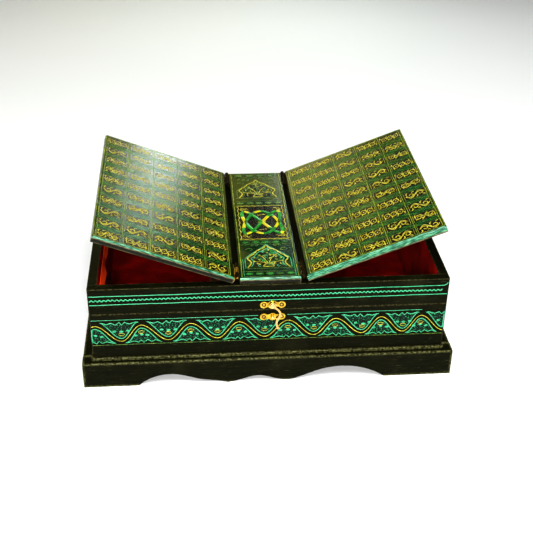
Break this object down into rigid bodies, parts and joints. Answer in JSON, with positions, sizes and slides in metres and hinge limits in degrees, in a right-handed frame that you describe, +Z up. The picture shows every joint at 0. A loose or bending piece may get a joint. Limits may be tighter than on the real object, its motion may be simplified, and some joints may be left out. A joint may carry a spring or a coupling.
{
  "type": "book rest box",
  "caption": "Lacquered wooden box on a cut-out plinth; its hinged lid has two leaves that swing up from a centre panel into a V-shaped book rest, with a hook latch.",
  "frame": {"origin": "middle of the plinth's footprint, on the surface that the box stands on", "axes": "+X to the right along the box, +Y from the latch to the lid hinges, +Z up"},
  "size_m": [0.424, 0.276, 0.1931],
  "materials": {
    "black_lacquer": "gloss lacquer",
    "plinth_lacquer": "gloss lacquer",
    "painted_top": "gloss painted ornament",
    "teal_paint": "gloss paint",
    "gold_paint": "metallic gold paint",
    "inner_wood": "stained, matt",
    "red_lining": "flocked felt",
    "brass_fittings": "stamped, bright",
    "steel_screws": "plated"
  },
  "bodies": {
    "box": {"front_apron": "plinth_lacquer", "back_apron": "plinth_lacquer", "left_apron": "plinth_lacquer", "right_apron": "plinth_lacquer", "corner_blocks": "inner_wood", "base_board": "plinth_lacquer", "floor_lining": "red_lining", "lid_hinge_pins": "brass_fittings", "box_hinge_screws": "steel_screws", "left_lid_hinge_lower_plate": "brass_fittings", "right_lid_hinge_lower_plate": "brass_fittings", "catch_plate": "brass_fittings", "catch_stud": "brass_fittings", "catch_plate_nails": "steel_screws", "box_front_wall": "black_lacquer", "box_back_wall": "black_lacquer", "box_left_wall": "black_lacquer", "box_right_wall": "black_lacquer", "box_front_lining": "red_lining", "box_back_lining": "red_lining", "box_left_lining": "red_lining", "box_right_lining": "red_lining"},
    "lid": {"centre_panel": "painted_top", "panel_bearer": "black_lacquer", "brace_ledges": "inner_wood", "left_lid_hinge_upper_plate": "brass_fittings", "right_lid_hinge_upper_plate": "brass_fittings", "lid_hinge_screws": "steel_screws", "leaf_hinge_pins": "brass_fittings", "panel_hinge_screws": "steel_screws", "latch_plate": "brass_fittings", "latch_rivet": "brass_fittings", "latch_plate_nails": "steel_screws", "lid_front_rail": "black_lacquer", "lid_back_rail": "black_lacquer", "lid_left_rail": "black_lacquer", "lid_right_rail": "black_lacquer", "lid_front_lining": "red_lining", "lid_back_lining": "red_lining", "lid_left_lining": "red_lining", "lid_right_lining": "red_lining", "left_front_hinge_panel_plate": "brass_fittings", "left_back_hinge_panel_plate": "brass_fittings", "right_front_hinge_panel_plate": "brass_fittings", "right_back_hinge_panel_plate": "brass_fittings"},
    "left_leaf": {"left_leaf_board": "painted_top", "left_front_hinge_leaf_plate": "brass_fittings", "left_back_hinge_leaf_plate": "brass_fittings", "left_leaf_screws": "steel_screws", "left_brace_lugs": "brass_fittings", "left_brace_pin": "steel_screws"},
    "right_leaf": {"right_leaf_board": "painted_top", "right_front_hinge_leaf_plate": "brass_fittings", "right_back_hinge_leaf_plate": "brass_fittings", "right_leaf_screws": "steel_screws", "right_brace_lugs": "brass_fittings", "right_brace_pin": "steel_screws"},
    "left_brace": {"left_brace_slat": "inner_wood"},
    "right_brace": {"right_brace_slat": "inner_wood"},
    "latch_hook": {"latch_hook": "brass_fittings"}
  },
  "joints": [
    {"name": "lid_hinge", "type": "hinge", "parent": "box", "child": "lid", "pos_m": [0, 0.1327, 0.094], "axis": [-1, 0, 0], "range_deg": [0, 100]},
    {"name": "left_leaf_hinge", "type": "hinge", "parent": "lid", "child": "left_leaf", "pos_m": [-0.0365, 0, 0.1345], "axis": [0, 1, 0], "range_deg": [-21, 73.75]},
    {"name": "right_leaf_hinge", "type": "hinge", "parent": "lid", "child": "right_leaf", "pos_m": [0.0365, 0, 0.1345], "axis": [0, -1, 0], "range_deg": [-21, 73.75]},
    {"name": "left_brace_hinge", "type": "hinge", "parent": "left_leaf", "child": "left_brace", "pos_m": [-0.13387, 0, 0.16003], "axis": [0, 1, 0], "range_deg": [-10.5, 36.88]},
    {"name": "right_brace_hinge", "type": "hinge", "parent": "right_leaf", "child": "right_brace", "pos_m": [0.13387, 0, 0.16003], "axis": [0, -1, 0], "range_deg": [-10.5, 36.88]},
    {"name": "hook_pivot", "type": "hinge", "parent": "lid", "child": "latch_hook", "pos_m": [0.0026, -0.132, 0.1005], "axis": [0, 1, 0], "range_deg": [-110, 14]}
  ],
  "couplings": [
    {"joint": "left_brace_hinge", "follows": "left_leaf_hinge", "ratio": 0.5},
    {"joint": "right_brace_hinge", "follows": "right_leaf_hinge", "ratio": 0.5}
  ]
}
